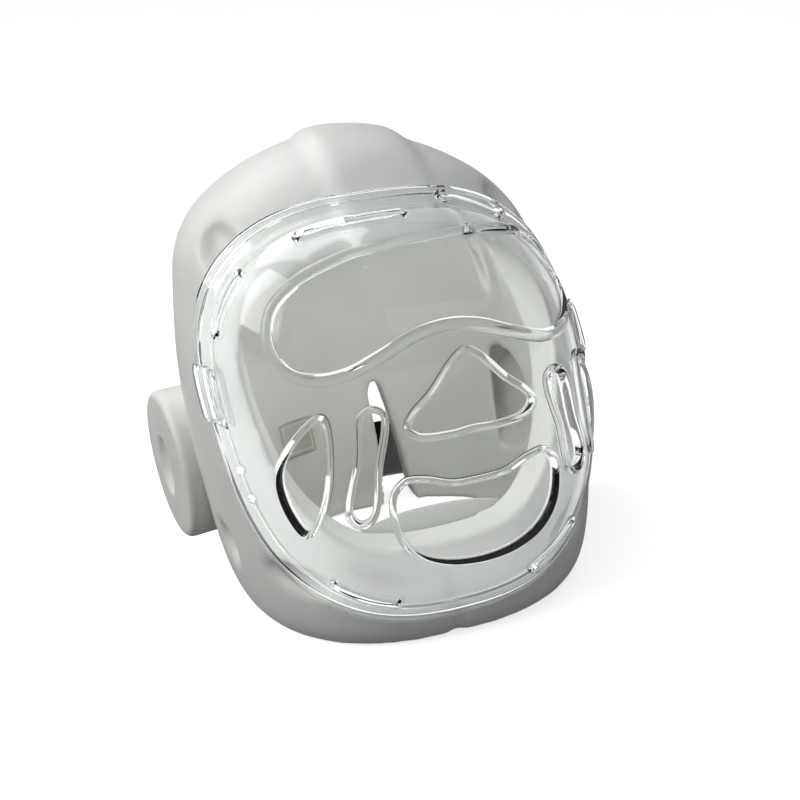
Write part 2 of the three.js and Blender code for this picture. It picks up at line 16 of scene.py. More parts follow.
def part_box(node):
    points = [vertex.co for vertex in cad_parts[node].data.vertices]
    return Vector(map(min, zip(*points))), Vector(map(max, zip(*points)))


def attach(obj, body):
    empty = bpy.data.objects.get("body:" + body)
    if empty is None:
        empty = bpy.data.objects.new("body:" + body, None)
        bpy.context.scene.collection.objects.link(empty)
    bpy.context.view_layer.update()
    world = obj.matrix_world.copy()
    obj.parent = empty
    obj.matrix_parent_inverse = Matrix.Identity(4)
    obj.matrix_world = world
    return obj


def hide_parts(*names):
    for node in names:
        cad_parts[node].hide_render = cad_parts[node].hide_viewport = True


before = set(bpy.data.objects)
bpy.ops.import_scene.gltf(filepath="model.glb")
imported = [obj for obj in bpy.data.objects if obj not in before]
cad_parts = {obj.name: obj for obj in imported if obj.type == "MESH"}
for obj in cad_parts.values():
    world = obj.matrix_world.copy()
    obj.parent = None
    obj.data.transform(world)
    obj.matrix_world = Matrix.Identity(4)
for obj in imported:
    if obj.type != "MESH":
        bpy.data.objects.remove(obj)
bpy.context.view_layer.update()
print("CAD nodes:", sorted(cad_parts))

# %% [markdown]
# The shapes below are worked out in millimetres about the wearer's own axis, as they are in
# the CAD source. The CAD then stands the part with the middle of its box over the origin, so
# one shift, and a thousandth for metres, brings every point into the shared frame.

# %% Units and the shift into the shared frame
MM = 0.001
STAND = np.array([6.101, 17.175, 0.0])


def to_scene(points):
    """Points in head millimetres, moved by the shift and turned into metres."""
    return (np.asarray(points, float) + STAND) * MM


# %% [markdown]
# ## The camera
# The photograph looks slightly down on the guard from the wearer's right, with a small roll
# because the guard was turned on its table. The camera is set first, since everything else
# is judged through it. Its three axes come from an azimuth, an elevation and that roll.

# %% Camera at the photograph's angle
azimuth, elevation, roll = np.radians([-12.6, 18.0, -6.8])
AIM = np.array([0.0, 0.0, 115.0])
SIDESTEP, DROP, DISTANCE = 5.2, 21.5, 574.0
back = np.array([np.sin(azimuth) * np.cos(elevation),
                 -np.cos(azimuth) * np.cos(elevation), np.sin(elevation)])
level = np.array([np.cos(azimuth), np.sin(azimuth), 0.0])
upright = np.cross(back, level)
right = level * np.cos(roll) + upright * np.sin(roll)
above = -level * np.sin(roll) + upright * np.cos(roll)
place = AIM + SIDESTEP * right - DROP * above + DISTANCE * back

camera_data = bpy.data.cameras.new("product_camera")
camera_data.sensor_fit = "HORIZONTAL"
camera_data.sensor_width = 36.0
camera_data.lens = 45.0
camera_data.clip_start = 0.01
camera = bpy.data.objects.new("product_camera", camera_data)
camera.matrix_world = Matrix(np.vstack([
    np.column_stack([right, above, back, to_scene(place)]), [0, 0, 0, 1]]).tolist())
bpy.context.scene.collection.objects.link(camera)
bpy.context.scene.camera = camera
print("camera at", np.round(to_scene(place), 3).tolist())

# %% [markdown]
# ## Shape of the foam
# The foam is a stack of rounded level sections. A table gives, for a share of the height,
# how wide the section is and how far it reaches to the front and to the back. The section
# itself is a superellipse: an ellipse whose power is 2.4 instead of 2, so that it is a little
# squarer, like a head.

# %% Table of the foam's sections
GUARD_HEIGHT, HALF_WIDTH, FRONT_REACH, BACK_REACH = 247.0, 112.0, 113.0, 109.0
SECTION_POWER = 2.4
SIDE, FRONT, BACK = 1, 2, 3
SECTIONS = np.array([
    [0.0, 0.85, 0.965, 0.79],
    [0.035, 0.9, 0.995, 0.83],
    [0.1, 0.94, 1.0, 0.86],
    [0.2, 0.97, 0.985, 0.9],
    [0.34, 0.99, 0.965, 0.95],
    [0.48, 0.975, 0.95, 0.99],
    [0.6, 0.935, 0.925, 1.0],
    [0.71, 0.875, 0.88, 0.96],
    [0.8, 0.81, 0.815, 0.87],
    [0.87, 0.7, 0.7, 0.75],
    [0.925, 0.54, 0.55, 0.58],
    [0.965, 0.36, 0.37, 0.39],
    [0.99, 0.18, 0.18, 0.2],
    [1.0, 0.0, 0.0, 0.0],
])


def cubic(t, start, start_slope, end, end_slope):
    """Curve for t from 0 to 1 between two values, leaving and reaching them at two slopes."""
    return ((2 * t**3 - 3 * t**2 + 1) * start + (t**3 - 2 * t**2 + t) * start_slope
            + (3 * t**2 - 2 * t**3) * end + (t**3 - t**2) * end_slope)


def section(column, share):
    """Smooth curve through one column: between two rows it is the cubic that leaves each
    row with the slope of the line through that row's neighbours."""
    height, value = SECTIONS[:, 0], SECTIONS[:, column]
    ahead = np.minimum(np.arange(len(height)) + 1, len(height) - 1)
    behind = np.maximum(np.arange(len(height)) - 1, 0)
    slope = (value[ahead] - value[behind]) / (height[ahead] - height[behind])
    row = np.clip(np.searchsorted(height, share, side="right") - 1, 0, len(height) - 2)
    span = height[row + 1] - height[row]
    t = np.clip((share - height[row]) / span, 0, 1)
    return cubic(t, value[row], slope[row] * span, value[row + 1], slope[row + 1] * span)


def ease(value, low, high):
    """Smooth step: 0 below low, 1 above high, and 3t squared less 2t cubed in between."""
    t = np.clip((value - low) / (high - low), 0, 1)
    return t * t * (3 - 2 * t)


def bend(value, power):
    """Signed value to the power 2 over the superellipse's own power."""
    return np.sign(value) * np.abs(value) ** (2 / power)


def unit(vectors):
    """Vectors divided by their own lengths."""
    return vectors / np.linalg.norm(vectors, axis=-1, keepdims=True)


# %% [markdown]
# The soft guard leans a little to the wearer's right as it stands, and a raised panel runs
# over the forehead and the crown. Both are small shifts added to the section's own point.

# %% Point of the foam's surface for an angle and a height
BASE_SHIFT, CROWN_LEAN = 6.0, 14.0
PANEL_SHIFT, PANEL_FLAT, PANEL_HALF, PANEL_LIFT = 10.0, 20.0, 30.0, 4.0


def middle_at(z):
    """Sideways place of the foam's middle: a fixed shift, and a lean that eases in upwards."""
    return -BASE_SHIFT - CROWN_LEAN * ease(z, 0.25 * GUARD_HEIGHT, GUARD_HEIGHT)


def panel_raise(x, z):
    """Height of the raised panel: full on its flat, about a line that lies to the wearer's
    left of the middle, gone at its half width, and only above the brow."""
    across = 1 - ease(np.abs(x - PANEL_SHIFT), PANEL_FLAT, PANEL_HALF)
    return PANEL_LIFT * across * ease(z, 0.66 * GUARD_HEIGHT, 0.76 * GUARD_HEIGHT)


def shell_point(angle, z, side=0.0, front=0.0, rear=0.0, panel=True):
    """Superellipse point at an angle from the front, moved inwards by the three insets."""
    angle, z = np.broadcast_arrays(angle, z)
    share = z / GUARD_HEIGHT
    reach = np.where(np.cos(angle) >= 0, FRONT_REACH * section(FRONT, share) - front,
                     BACK_REACH * section(BACK, share) - rear)
    half = np.maximum(HALF_WIDTH * section(SIDE, share) - side, 0)
    x = half * bend(np.sin(angle), SECTION_POWER)
    y = -np.maximum(reach, 0) * bend(np.cos(angle), SECTION_POWER)
    raised = panel_raise(x, z) if panel else np.zeros_like(x)
    top = ease(z, 0.9 * GUARD_HEIGHT, 0.96 * GUARD_HEIGHT)
    ahead = np.where(y < 0, -1.0, 1.0)
    return np.stack([x + middle_at(z), y + ahead * raised * (1 - top), z + raised * top], -1)


print("widest section:", round(float(2 * HALF_WIDTH * SECTIONS[:, SIDE].max()), 1), "mm")

# %% [markdown]
# ## From arrays to a mesh
# Every piece here is a stack of closed rings of points, such as the pot of foam, a disc or
# a strap. Two helpers are enough: one numbers the corners of the grid's faces, and one closes
# both ends with a fan and turns the faces outwards.

# %% Helpers that put a grid of points into a mesh
def grid_faces(rows, columns):
    """Corner numbers of the quads between the rings, with the last column joined to the
    first."""
    r, c = np.meshgrid(np.arange(rows - 1), np.arange(columns), indexing="ij")
    n = (c + 1) % columns
    corners = [r * columns + c, r * columns + n, (r + 1) * columns + n, (r + 1) * columns + c]
    return np.stack(corners, -1).reshape(-1, 4)


def signed_volume(points, faces):
    """Sum over the triangles of a sixth of each one's scalar triple product."""
    a, b, c = (points[faces[:, k]] for k in range(3))
    return np.einsum("ij,ij->i", a, np.cross(b, c)).sum() / 6


def ring_body(name, rings, loop=False):
    """Closed mesh from rings, an array of rows by columns by three, in head millimetres. A
    fan to the middle of its ring closes each end, or in a loop the last ring meets the
    first."""
    rows, columns = rings.shape[:2]
    points = np.vstack([rings.reshape(-1, 3), rings[[0, -1]].mean(axis=1)])
    if loop:
        quads = grid_faces(rows + 1, columns) % (rows * columns)
        return put_mesh(name, points[:-2], [quads])
    k = np.arange(columns)
    n = (k + 1) % columns
    first = np.stack([np.full(columns, rows * columns), n, k], -1)
    last = np.stack([np.full(columns, rows * columns + 1), (rows - 1) * columns + k,
                     (rows - 1) * columns + n], -1)
    return put_mesh(name, points, [grid_faces(rows, columns), first, last])


def put_mesh(name, points, parts):
    """Mesh object from points and arrays of faces, turned so that its volume is positive."""
    fans = [part[:, [0, k, k + 1]] for part in parts for k in range(1, part.shape[1] - 1)]
    turn = 1 if signed_volume(points, np.vstack(fans)) > 0 else -1
    faces = [face[::turn] for part in parts for face in part.tolist()]
    mesh = bpy.data.meshes.new(name)
    mesh.from_pydata(to_scene(points).tolist(), [], faces)
    mesh.polygons.foreach_set("use_smooth", np.ones(len(mesh.polygons), bool))
    piece = bpy.data.objects.new(name, mesh)
    bpy.context.scene.collection.objects.link(piece)
    return piece


def settle(piece):
    """Bakes the piece's modifiers into its mesh and takes them off."""
    graph = bpy.context.evaluated_depsgraph_get()
    mesh = bpy.data.meshes.new_from_object(piece.evaluated_get(graph))
    piece.modifiers.clear()
    piece.data = mesh
    return piece


def soften(piece, rounds):
    """Smooths the mesh by half steps towards the neighbours' middle, and settles it."""
    dip = piece.modifiers.new("dip", "SMOOTH")
    dip.factor, dip.iterations = 0.5, rounds
    return settle(piece)


def combine(piece, tools, operation="DIFFERENCE"):
    """Takes the tools' volume out of the piece, or adds it, in one go: the tools don't touch
    each other, so they become one mesh first."""
    with bpy.context.temp_override(active_object=tools[0], selected_editable_objects=tools):
        bpy.ops.object.join()
    step = piece.modifiers.new("combine", "BOOLEAN")
    step.object, step.operation, step.solver = tools[0], operation, "MANIFOLD"
    settle(piece)
    bpy.data.objects.remove(tools[0])
    return piece


def report(piece):
    """Prints a piece's size and its number of triangles."""
    corners = np.array([list(v.co) for v in piece.data.vertices]) * 1000
    size = np.round(corners.max(0) - corners.min(0), 1).tolist()
    triangles = sum(len(face.vertices) - 2 for face in piece.data.polygons)
    print(f"{piece.name}: {size} mm, {triangles} triangles")


# %% [markdown]
# ## Outlines drawn through a few points
# The face opening, the vents and the goggle ridge are smooth closed curves through short
# tables of points. The curve used here, a centripetal Catmull-Rom, passes through every point
# without loops, which suits outlines that are read off a real moulding.

# %% Smooth closed outline through a table of points
def closed_outline(points, count):
    """Closed curve through the points: each stretch is a cubic whose end slopes come from
    the neighbours, weighted by the square root of their distances. Then the curve is walked
    in equal steps."""
    p1 = np.asarray(points, float)
    p0, p2, p3 = np.roll(p1, 1, 0), np.roll(p1, -1, 0), np.roll(p1, -2, 0)
    d0, d1, d2 = (np.sqrt(np.linalg.norm(b - a, axis=1))[:, None]
                  for a, b in ((p0, p1), (p1, p2), (p2, p3)))
    s1 = ((p1 - p0) / d0 - (p2 - p0) / (d0 + d1) + (p2 - p1) / d1) * d1
    s2 = ((p2 - p1) / d1 - (p3 - p1) / (d1 + d2) + (p3 - p2) / d2) * d1
    t = np.linspace(0, 1, 24, endpoint=False)[None, :, None]
    p1, p2, s1, s2 = (a[:, None] for a in (p1, p2, s1, s2))
    line = cubic(t, p1, s1, p2, s2).reshape(-1, 2)
    around = np.vstack([line, line[:1]])
    walked = np.concatenate([[0], np.linalg.norm(np.diff(around, axis=0), axis=1).cumsum()])
    steps = np.linspace(0, walked[-1], count, endpoint=False)
    return np.stack([np.interp(steps, walked, around[:, k]) for k in (0, 1)], -1)


def mirrored(points):
    """Half an outline, and its mirror image where it is off the middle, in running order."""
    half = np.asarray(points, float)
    other = half[half[:, 0] > 0][::-1] * [-1, 1]
    return np.vstack([half, other])


def prism(name, outline, near, far, flare=0.0):
    """Closed prism along Y between two depths; flare widens it in front and narrows it
    behind, about the middle of its box."""
    middle = (outline.min(0) + outline.max(0)) / 2
    rings = [np.insert(middle + (outline - middle) * scale, 1, depth, axis=1)
             for depth, scale in ((near, 1 + flare), (far, 1 - flare))]
    return ring_body(name, np.array(rings))


# %% [markdown]
# ## The foam pot
# The real pot is moulded in one piece and then dipped, so that no edge on it is sharp. Here
# its outside and its hollow are one closed grid. Shallow dents are pressed into the outside,
# the face opening and the slit are cut out, and then a voxel remesh and some smoothing round
# every edge as the dip does. Closed-cell foam doesn't crumple or fill like a cushion, so no
# cloth simulation is needed.

# %% Moulded dents
# Angle from the front, share of the height, half length, half breadth, depth, tilt
DENTS = np.array([
    [50, 0.815, 24, 10, 9, 40],
    [92, 0.66, 17, 7, 5, 90],
    [71, 0.185, 12, 7, 8, 60],
    [39, 0.158, 21, 6.5, 9.5, 22],
])
SEAM_DEPTH, SEAM_HALF = 4.0, 4.5


def pressed(points):
    """Moves points of the outer surface inwards. A dent is the upper half of an ellipsoid
    laid in the surface: its depth times the root of one less the squared distance, which is
    measured along and across the dent in shares of its two half sizes. Last comes a seam at
    the chin, deepest at the rim, that thins out as it rises."""
    moved = points.copy()
    for hand in (-1, 1):
        for angle, share, length, breadth, depth, tilt in DENTS:
            turn, z = hand * math.radians(angle), share * GUARD_HEIGHT
            middle = shell_point(turn, z)
            around = unit(shell_point(turn + 0.02, z) - shell_point(turn - 0.02, z))
            upward = unit(shell_point(turn, z + 1) - shell_point(turn, z - 1))
            outward = np.cross(around, upward)
            slant = hand * math.radians(tilt)
            along = around * math.cos(slant) + upward * math.sin(slant)
            beside = -around * math.sin(slant) + upward * math.cos(slant)
            away = points - middle
            far = (away @ along / length) ** 2 + (away @ beside / breadth) ** 2
            near = np.abs(away @ outward) < 30
            fall = depth * np.clip(1 - far, 0, 1) ** 0.55 * near
            moved = moved - fall[..., None] * outward
    chin = (points[..., 2] < 0.3 * GUARD_HEIGHT) & (points[..., 1] < 0)
    beside = np.abs(points[..., 0] - middle_at(0.0)) + 0.07 * points[..., 2]
    seam = SEAM_DEPTH * (1 - ease(beside, 0.0, SEAM_HALF)) * chin
    return moved + seam[..., None] * [0.0, 1.0, 0.0]


# %% Outside, hollow and roof as one stack of rings
HOLLOW = {"side": 23.0, "front": 20.0, "rear": 22.0}
CROWN_WALL, HOLLOW_SHARE = 20.0, 0.84
around = np.linspace(0, 2 * np.pi, 264, endpoint=False)
outer_z = GUARD_HEIGHT * (1 - np.linspace(0.03, 1, 140) ** 2)
outside = pressed(shell_point(around[None], outer_z[:, None]))
inner_z = GUARD_HEIGHT * np.linspace(0, HOLLOW_SHARE, 80)
inside = shell_point(around[None], inner_z[:, None], panel=False, **HOLLOW)
roof = GUARD_HEIGHT - CROWN_WALL
turn = np.radians(np.linspace(4, 88, 24))[:, None, None]
top_middle = np.array([middle_at(roof), 0.0, 0.0])
dome = top_middle + (inside[-1] * [1, 1, 0] - top_middle) * np.cos(turn)
dome[..., 2] = inner_z[-1] + (roof - inner_z[-1]) * np.sin(turn[..., 0])
foam = ring_body("dipped_foam_shell", np.concatenate([outside, inside, dome]))
report(foam)

# %% Face opening
OPENING = [[0, 1], [0.45, 0.985], [0.8, 0.9], [0.97, 0.76], [0.99, 0.6], [0.92, 0.38],
           [0.76, 0.16], [0.5, 0.03], [0.2, 0]]
OPENING_LOW, OPENING_HIGH, OPENING_HALF = 55.0, 196.0, 79.0
opening_outline = closed_outline(mirrored(
    np.array(OPENING) * [OPENING_HALF, OPENING_HIGH - OPENING_LOW] + [0, OPENING_LOW]), 120)
opening_outline[:, 0] += middle_at(0.5 * GUARD_HEIGHT)
opening = prism("opening", opening_outline, -FRONT_REACH - 40, -FRONT_REACH * 0.12, 0.07)

# %% Slit at the nape and the hollows for the ears
slit_outline = closed_outline([[18, -20], [18, 8], [14.6, 41], [8.1, 76], [4.5, 82],
                               [0.9, 76], [1.8, 41], [0, 8], [0, -20]], 80)
slit = prism("slit", slit_outline, BACK_REACH * 0.4, BACK_REACH * 1.4)

EAR_REACH, EAR_BACK, EAR_HEIGHT, EAR_TURN = 129.0, 24.0, 71.0, math.radians(12.0)
EAR_HOLLOW_RADIUS, EAR_HOLLOW_HALF = 33.0, 11.0


def ear_axes(hand):
    """Middle of an ear disc's face and its three directions: out, backwards and up. The
    disc is turned a little towards the front."""
    out = np.array([hand * math.cos(EAR_TURN), -math.sin(EAR_TURN), 0.0])
    rearward = np.array([hand * math.sin(EAR_TURN), math.cos(EAR_TURN), 0.0])
    middle = np.array([middle_at(EAR_HEIGHT) + hand * EAR_REACH, EAR_BACK, EAR_HEIGHT])
    return middle, out, rearward, np.array([0.0, 0.0, 1.0])


def about_ear(hand, radius, out_by, angle):
    """Point at a radius and an angle about the ear's axis, moved out along it."""
    middle, out, rearward, up = ear_axes(hand)
    radius, out_by, angle = (np.asarray(a, float)[..., None] for a in (radius, out_by, angle))
    return middle + radius * (np.cos(angle) * rearward + np.sin(angle) * up) + out_by * out


ring = np.linspace(0, 2 * np.pi, 64, endpoint=False)
inward = EAR_REACH - HALF_WIDTH + HOLLOW["side"]
ear_hollows = [ring_body("ear_hollow", np.array([
    about_ear(hand, EAR_HOLLOW_RADIUS + 0 * ring, depth - inward + 0 * ring, ring)
    for depth in (-EAR_HOLLOW_HALF, EAR_HOLLOW_HALF)])) for hand in (-1, 1)]

# %% Cut, remesh and smooth the foam
VOXEL, DIP_ROUNDS = 2.2, 12
combine(foam, [opening, slit, *ear_hollows])
remesh = foam.modifiers.new("skin", "REMESH")
remesh.mode = "VOXEL"
remesh.voxel_size = VOXEL * MM
remesh.use_smooth_shade = True
report(soften(foam, DIP_ROUNDS))

# %% [markdown]
# ## Ear discs
# Over each ear sits a thick round disc of the same dipped foam, glued into the side of the
# pot. Its face carries one shallow moulded scoop. The disc is a set of rings about the ear's
# axis: across the face, round the rim, down the wall and back over a hidden face that follows
# the pot a little below its surface.

# %% Depth of the pot's surface along the ear's axis
def buried_depth(hand, radius, angle, sink):
    """How far out along the ear's axis the pot's surface lies, less the sink. A point is
    inside the pot when the superellipse measure is below one; halving the range between far
    inside and far outside finds where it is one."""
    low, high = np.full(np.shape(angle), -80.0), np.full(np.shape(angle), 10.0)
    for _ in range(30):
        trial = (low + high) / 2
        x, y, z = np.moveaxis(about_ear(hand, radius, trial, angle), -1, 0)
        share = z / GUARD_HEIGHT
        half = HALF_WIDTH * section(SIDE, share)
        reach = np.where(y < 0, FRONT_REACH * section(FRONT, share),
                         BACK_REACH * section(BACK, share))
        measure = (np.abs((x - middle_at(z)) / half) ** SECTION_POWER
                   + np.abs(y / reach) ** SECTION_POWER)
        low, high = np.where(measure < 1, trial, low), np.where(measure < 1, high, trial)
    return low - sink


# %% Ear discs as rings about the ear's axis
DISC_RADIUS, DISC_CORNER, DISC_CROWN, DISC_SINK = 44.0, 4.5, 0.8, 2.5
SCOOP_HALF_WIDTH, SCOOP_HALF_HEIGHT, SCOOP_DEPTH = 14.0, 18.0, 5.5


def ear_disc(name, hand):
    """Face, rounded rim, wall and hidden back, each as rows of radius and depth. The face is
    crowned by the fourth power of the radius, and its scoop is a soft ellipsoid."""
    angle = np.linspace(0, 2 * np.pi, 120, endpoint=False)[None]
    flat = DISC_RADIUS - DISC_CORNER
    face_radius = np.linspace(0.5, flat, 38)[:, None] + 0 * angle
    far = ((face_radius * np.cos(angle) / SCOOP_HALF_WIDTH) ** 2
           + (face_radius * np.sin(angle) / SCOOP_HALF_HEIGHT) ** 2)
    face_out = (-DISC_CROWN * (face_radius / flat) ** 4
                - SCOOP_DEPTH * np.clip(1 - far, 0, 1) ** 0.75)
    corner = np.radians(np.linspace(8, 90, 9))[:, None] + 0 * angle
    rim_radius = flat + DISC_CORNER * np.sin(corner)
    rim_out = -DISC_CROWN - DISC_CORNER * (1 - np.cos(corner))
    wall_top = -DISC_CROWN - DISC_CORNER
    buried = buried_depth(hand, DISC_RADIUS, angle, DISC_SINK)
    wall_out = wall_top + (buried - wall_top) * np.linspace(0.08, 1, 12)[:, None]
    back_radius = np.linspace(DISC_RADIUS - 1, 0.5, 20)[:, None] + 0 * angle
    back_out = buried_depth(hand, back_radius, angle + 0 * back_radius, DISC_SINK)
    radius = np.vstack([face_radius, rim_radius, DISC_RADIUS + 0 * wall_out, back_radius])
    out_by = np.vstack([face_out, rim_out, wall_out, back_out])
    return ring_body(name, about_ear(hand, radius, out_by, angle + 0 * radius))


discs = [ear_disc("dipped_ear_disc_right", -1), ear_disc("dipped_ear_disc_left", 1)]
for disc in discs:
    report(soften(disc, 2))

# %% [markdown]
# ## Chin cup
# Inside the chin bar lies a soft pad. It is two sheets over one grid, one against the foam
# and one swelling into the hollow, that meet along their border, so its edge is thin and
# round as on a real pad.

# %% Chin cup between two sheets
CUP_ANGLE, CUP_LOW, CUP_TOP, CUP_DROP = 25.0, 14.0, 63.0, 9.0
CUP_LIFT, CUP_SWELL, CUP_BEHIND = 0.4, 13.5, 1.2


def on_inner_wall(angle, z, lift):
    """Point of the hollow's wall, moved inwards by the lift."""
    insets = {name: inset + lift for name, inset in HOLLOW.items()}
    return shell_point(angle, z, panel=False, **insets)


def chin_cup():
    """Rows run down the pad. A row goes across the swollen sheet and back along the sheet
    that touches the foam. The swelling is the cup's thickness times a rounded profile that
    is zero on the border."""
    across = np.sin(np.radians(np.linspace(-90, 90, 60)))
    down = np.sin(np.radians(np.linspace(-88, 88, 34)))[:, None]
    angle = np.radians(CUP_ANGLE) * across[None] + 0 * down
    top = CUP_TOP - CUP_DROP * across**2
    z = CUP_LOW + (top[None] - CUP_LOW) * (down + 1) / 2
    swell = ((1 - np.abs(across) ** 2.6)[None] * (1 - np.abs(down) ** 2.6)) ** 0.5
    face = on_inner_wall(angle, z, CUP_LIFT + CUP_SWELL * swell)
    behind = on_inner_wall(angle, z, CUP_LIFT - CUP_BEHIND * swell)
    return ring_body("dipped_chin_cup", np.concatenate([face, behind[:, ::-1]], 1))


cup = chin_cup()
report(cup)

# %% [markdown]
# ## The clear shield
# The shield is one moulding of clear polycarbonate, 2.6 mm thick. Its flange lies along the
# foam, and inside the flange the middle bulges forwards. A goggle-shaped ridge and lips round
# the vents and round the long slots in the flange stiffen it. It is a polar grid whose rows
# run from a middle inside the nose vent, which is cut away, out to the rim. The ridges and
# lips are beads, tubes along their outlines, that are joined to it.

# %% Surface of the shield
SHIELD_HALF, SHIELD_LOW, SHIELD_HIGH, SHIELD_POWER = 99.0, 15.0, 222.0, 2.6
SHIELD_WALL, FLANGE, PAD_GAP = 2.6, 0.93, 1.3
BULGE_HEIGHT, BULGE_MORE_ABOVE = 31.0, 4.0
shield_mid, shield_tall = (SHIELD_HIGH + SHIELD_LOW) / 2, (SHIELD_HIGH - SHIELD_LOW) / 2


def front_face(x, z):
    """Depth of the foam's front at a place across and a height, from the superellipse."""
    share = z / GUARD_HEIGHT
    half = HALF_WIDTH * section(SIDE, share)
    across = np.minimum(np.abs(x - middle_at(z)) / half, 0.999)
    bow = (1 - across**SECTION_POWER) ** (1 / SECTION_POWER)
    return -FRONT_REACH * section(FRONT, share) * bow - panel_raise(x - middle_at(z), z)


def shield_depth(x, z):
    """The foam's front, moved out by the gap and the wall square to it, and by the bulge:
    its height times one less the share of the way out to the flange to a high power, and
    that to a power near a half, which makes a flat middle and a steep side."""
    slope_x = (front_face(x + 1, z) - front_face(x - 1, z)) / 2
    slope_z = (front_face(x, z + 1) - front_face(x, z - 1)) / 2
    slant = np.sqrt(1 + slope_x**2 + slope_z**2)
    across = np.abs(x - middle_at(z)) / SHIELD_HALF
    up = (z - shield_mid) / shield_tall
    out = (across**SHIELD_POWER + np.abs(up) ** SHIELD_POWER) ** (1 / SHIELD_POWER)
    filled = 1 - np.minimum(out / FLANGE, 1) ** (4.2 + 1.8 * up)
    rise = (BULGE_HEIGHT + BULGE_MORE_ABOVE * up) * filled ** (0.6 - 0.1 * up)
    return front_face(x, z) - (PAD_GAP + SHIELD_WALL) * slant - rise


def shield_point(x, z):
    """Place across, depth and height as one array of points."""
    return np.stack([x, shield_depth(x, z), z], -1)


def shield_normal(x, z):
    """Direction out of the shield: the cross product of a small step across and one up."""
    across = shield_point(x + 0.5, z) - shield_point(x - 0.5, z)
    upward = shield_point(x, z + 0.5) - shield_point(x, z - 0.5)
    return unit(np.cross(across, upward))


# %% Vents, goggle ridge and slots in the rim
# Across and up, in shares of the shield's half width and of its height
GOGGLE = [[0, 0.91], [0.24, 0.905], [0.44, 0.885], [0.61, 0.85], [0.72, 0.8], [0.755, 0.735],
          [0.71, 0.68], [0.61, 0.658], [0.47, 0.663], [0.31, 0.692], [0.14, 0.725], [0, 0.735]]
NOSE = [[0, 0.678], [0.06, 0.662], [0.18, 0.6], [0.275, 0.56], [0.305, 0.532], [0.26, 0.51],
        [0.11, 0.502], [0, 0.505]]
MOUTH = [[0, 0.39], [0.13, 0.393], [0.25, 0.412], [0.34, 0.415], [0.4, 0.385], [0.41, 0.33],
         [0.38, 0.27], [0.3, 0.222], [0.165, 0.192], [0, 0.182]]
SLOT = [[0.4, 0.57], [0.45, 0.585], [0.5, 0.57], [0.545, 0.46], [0.6, 0.345], [0.56, 0.32],
        [0.5, 0.335], [0.45, 0.45]]
CHEEK = [[0.66, 0.575], [0.72, 0.56], [0.84, 0.48], [0.875, 0.42], [0.85, 0.335],
         [0.79, 0.285], [0.735, 0.32], [0.66, 0.45]]
# Turn of a slot's middle from the top towards the wearer's left, in degrees, and its share of
# the way out to the rim
RIM_SLOTS = [[-8, 0.905], [26, 0.955], [-54, 0.915], [54, 0.915], [-153, 0.86], [148, 0.875]]
RIM_SLOT_ANGLE, RIM_SLOT_WIDTH = 23.0, 4.2
SLOT_LIP_SHORTER, SLOT_LIP_AWAY = 1.3, 3.2
SHIELD_SIZE = np.array([SHIELD_HALF, SHIELD_HIGH - SHIELD_LOW])


def on_shield(rows, shift, count):
    """Outline in millimetres across and up, smooth and evenly stepped."""
    flat = np.asarray(rows, float) * SHIELD_SIZE + [0, SHIELD_LOW]
    return closed_outline(flat, count) + [shift, 0]


# The soft guard leans as it stands, so the ridge and the vents have shifts of their own
GOGGLE_SHIFT, VENT_SHIFT = -4.0, 3.0
goggle = on_shield(mirrored(GOGGLE), GOGGLE_SHIFT, 360)
vents = [on_shield(mirrored(rows), VENT_SHIFT, count)
         for rows, count in ((NOSE, 200), (MOUTH, 260))]
for rows in (SLOT, CHEEK):
    vents += [on_shield(np.array(rows) * [hand, 1], VENT_SHIFT, 160) for hand in (-1, 1)]


def rim_place(turn, share):
    """Place across and up at a turn about the shield's middle and a share of the way out."""
    z = shield_mid + share * shield_tall * bend(np.cos(turn), SHIELD_POWER)
    return middle_at(z) + share * SHIELD_HALF * bend(np.sin(turn), SHIELD_POWER), z


def rim_slot_line(row, count, shorter):
    """Middle line of a slot, bent along the rim, and its directions beside it and out."""
    turn, share = row
    half = RIM_SLOT_ANGLE / 2 - shorter
    turns = np.radians(turn + np.linspace(-half, half, count))
    line, ahead, behind = (shield_point(*rim_place(turns + step, share))
                           for step in (0, 0.02, -0.02))
    out = shield_normal(*rim_place(turns, share))
    return line, np.cross(out, unit(ahead - behind)), out


print(len(vents), "vents and", len(RIM_SLOTS), "slots in the rim")

# %% Beads for the ridges and lips
def bead(name, line, out, half, height, sink):
    """Closed tube along a closed line of points: its section is an ellipse, half its width
    beside the line and its height along the outward direction, sunk below the surface."""
    along = unit(np.roll(line, -1, 0) - np.roll(line, 1, 0))
    beside = unit(np.cross(along, out))
    turn = np.linspace(0, 2 * np.pi, 14, endpoint=False)[None, :, None]
    rings = ((line - sink * out)[:, None] + half * np.cos(turn) * beside[:, None]
             + height * np.sin(turn) * out[:, None])
    return ring_body(name, rings, loop=True)


def slot_rim(row, away):
    """Closed line round a slot at a distance from its middle line, with its directions out:
    up one side, half a circle round the end, down the other side and round again."""
    line, beside, out = rim_slot_line(row, 30, SLOT_LIP_SHORTER)
    turn = np.radians(np.linspace(0, 180, 12)[1:-1])[:, None]
    ends = []
    for tip, inner in ((-1, -2), (0, 1)):
        ahead = unit(line[tip] - line[inner])
        side = beside[tip] if tip else -beside[tip]
        ends.append(line[tip] + away * (np.cos(turn) * side + np.sin(turn) * ahead))
    round_out = [np.repeat(out[[tip]], len(turn), 0) for tip in (-1, 0)]
    rim = np.vstack([line + away * beside, ends[0], (line - away * beside)[::-1], ends[1]])
    return rim, np.vstack([out, round_out[0], out[::-1], round_out[1]])


# Half width, height and sink of each kind of bead
RIDGE_SIZE, VENT_LIP_SIZE = (3.3, 2.4, 0.6), (1.8, 3.0, 0.9)
BORDER_SIZE, SLOT_LIP_SIZE = (1.3, 1.5, 0.2), (1.3, 1.8, 0.3)
BORDER_SHARE, BORDER_POINTS = 0.972, 309
